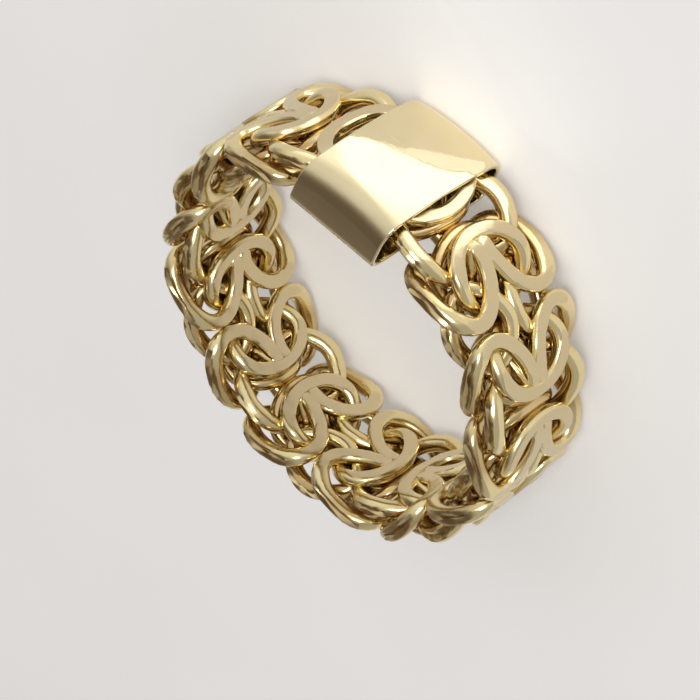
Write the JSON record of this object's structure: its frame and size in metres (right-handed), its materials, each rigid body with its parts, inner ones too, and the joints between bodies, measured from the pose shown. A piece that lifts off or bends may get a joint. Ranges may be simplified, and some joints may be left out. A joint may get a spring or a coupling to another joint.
{
  "type": "chain link ring",
  "caption": "Finger ring of flat woven gold chain, its ends closed in one smooth domed sleeve, lying on its side.",
  "frame": {"origin": "on the axis of the finger hollow, level with the lowest point of the ring as it lies on its side", "axes": "+Z along the finger hollow, up; -Y towards the middle of the sleeve; +X to the right seen from the sleeve"},
  "size_m": [0.022, 0.0227, 0.0077],
  "materials": {
    "sleeve_gold": "polished",
    "chain_gold": "polished, pressed faces"
  },
  "bodies": {
    "root": {"sleeve": "sleeve_gold", "chain_one": "chain_gold", "chain_two": "chain_gold"}
  },
  "joints": []
}
